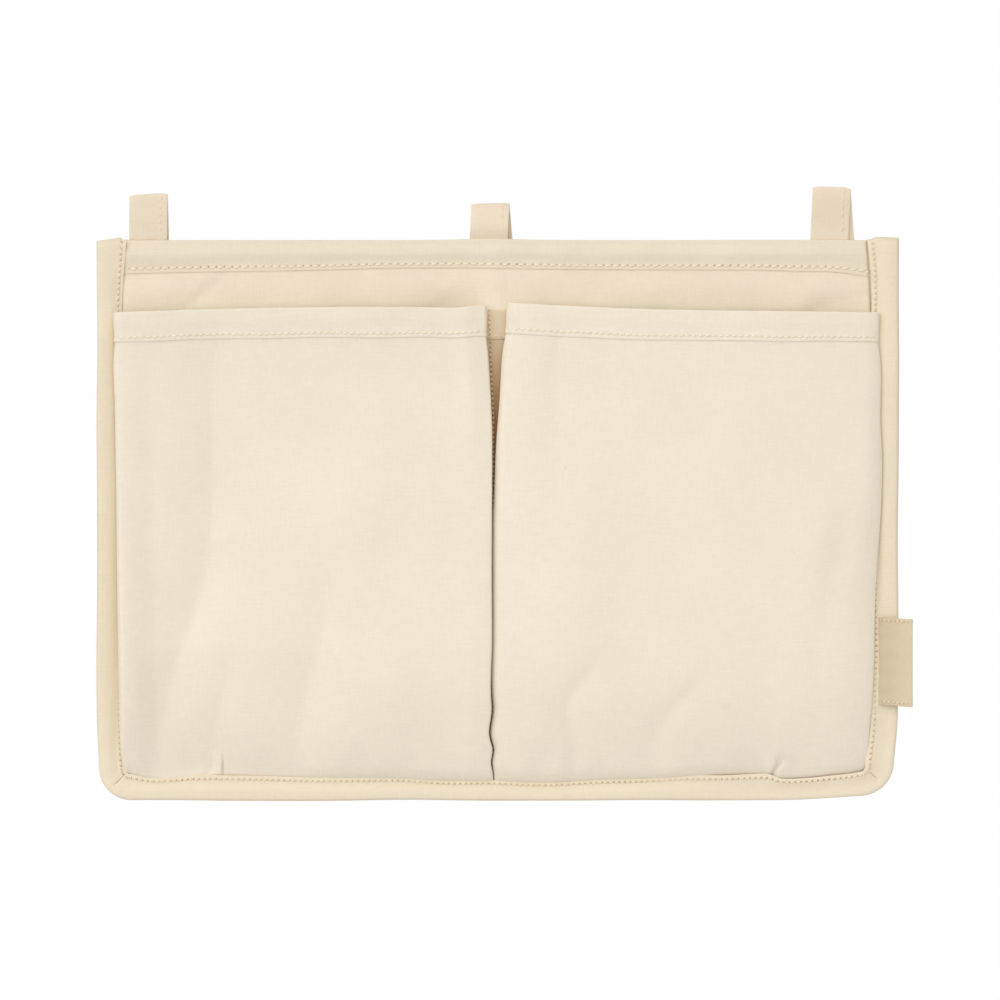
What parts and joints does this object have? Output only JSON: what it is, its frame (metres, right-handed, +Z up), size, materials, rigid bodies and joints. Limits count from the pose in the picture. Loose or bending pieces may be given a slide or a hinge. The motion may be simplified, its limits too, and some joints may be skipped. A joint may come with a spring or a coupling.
{
  "type": "bedside caddy",
  "caption": "Hanging cloth caddy: a bound, lined panel with pleated pockets side by side, hemmed mouths, strap loops along the top edge and a folded ribbon label on one side.",
  "frame": {"origin": "on the rail line through the three loops, 13 mm above the panel's top edge, over the middle of the panel's width and in the middle of its thickness at the loop tails", "axes": "+X along the rail to the right seen from the front, +Y towards the back, +Z up; the pockets face -Y"},
  "size_m": [0.4071, 0.0265, 0.3043],
  "materials": {
    "pocket_canvas": "unbleached cotton canvas, plain weave, matt",
    "panel_canvas": "unbleached cotton canvas, plain weave, matt",
    "lining_cotton": "plain cotton lining, matt",
    "felt": "needled felt, matt",
    "binding_tape": "cotton binding tape, matt",
    "strap_tape": "folded cotton strap, matt",
    "label_ribbon": "woven ribbon, slight sheen, bare"
  },
  "bodies": {
    "panel": {"back_panel": "panel_canvas", "top_hem": "panel_canvas", "panel_interlining": "felt", "back_lining": "lining_cotton", "binding_left": "binding_tape", "binding_bottom": "binding_tape", "binding_right": "binding_tape", "pocket_divider": "pocket_canvas", "left_pocket_base": "pocket_canvas", "right_pocket_base": "pocket_canvas", "left_outer_pleat": "pocket_canvas", "left_inner_pleat": "pocket_canvas", "right_outer_pleat": "pocket_canvas", "right_inner_pleat": "pocket_canvas", "loop_left_tails": "strap_tape", "loop_centre_tails": "strap_tape", "loop_right_tails": "strap_tape"},
    "left_pocket": {"left_pocket_front": "pocket_canvas", "left_pocket_hem": "pocket_canvas"},
    "right_pocket": {"right_pocket_front": "pocket_canvas", "right_pocket_hem": "pocket_canvas"},
    "left_loop": {"loop_left": "strap_tape"},
    "centre_loop": {"loop_centre": "strap_tape"},
    "right_loop": {"loop_right": "strap_tape"},
    "label": {"side_label": "label_ribbon"}
  },
  "joints": [
    {"name": "left_pocket_open", "type": "hinge", "parent": "panel", "child": "left_pocket", "pos_m": [-0.0955, -0.018, -0.2553], "axis": [1, 0, 0], "range_deg": [0, 9], "stiffness_Nm_per_rad": 0.02, "springref_deg": -2.86},
    {"name": "right_pocket_open", "type": "hinge", "parent": "panel", "child": "right_pocket", "pos_m": [0.093, -0.018, -0.2553], "axis": [1, 0, 0], "range_deg": [0, 9], "stiffness_Nm_per_rad": 0.02, "springref_deg": -2.86},
    {"name": "left_loop_swing", "type": "hinge", "parent": "panel", "child": "left_loop", "pos_m": [-0.174, 0, -0.0115], "axis": [1, 0, 0], "range_deg": [-60, 60], "stiffness_Nm_per_rad": 0.001},
    {"name": "centre_loop_swing", "type": "hinge", "parent": "panel", "child": "centre_loop", "pos_m": [-0.005, 0, -0.0115], "axis": [1, 0, 0], "range_deg": [-45, 45], "stiffness_Nm_per_rad": 0.001},
    {"name": "right_loop_swing", "type": "hinge", "parent": "panel", "child": "right_loop", "pos_m": [0.1645, 0, -0.0115], "axis": [1, 0, 0], "range_deg": [-60, 60], "stiffness_Nm_per_rad": 0.001},
    {"name": "label_flap", "type": "hinge", "parent": "panel", "child": "label", "pos_m": [0.1899, -0.0052, -0.22225], "axis": [0, 0, -1], "range_deg": [0, 85], "stiffness_Nm_per_rad": 0.0005}
  ]
}
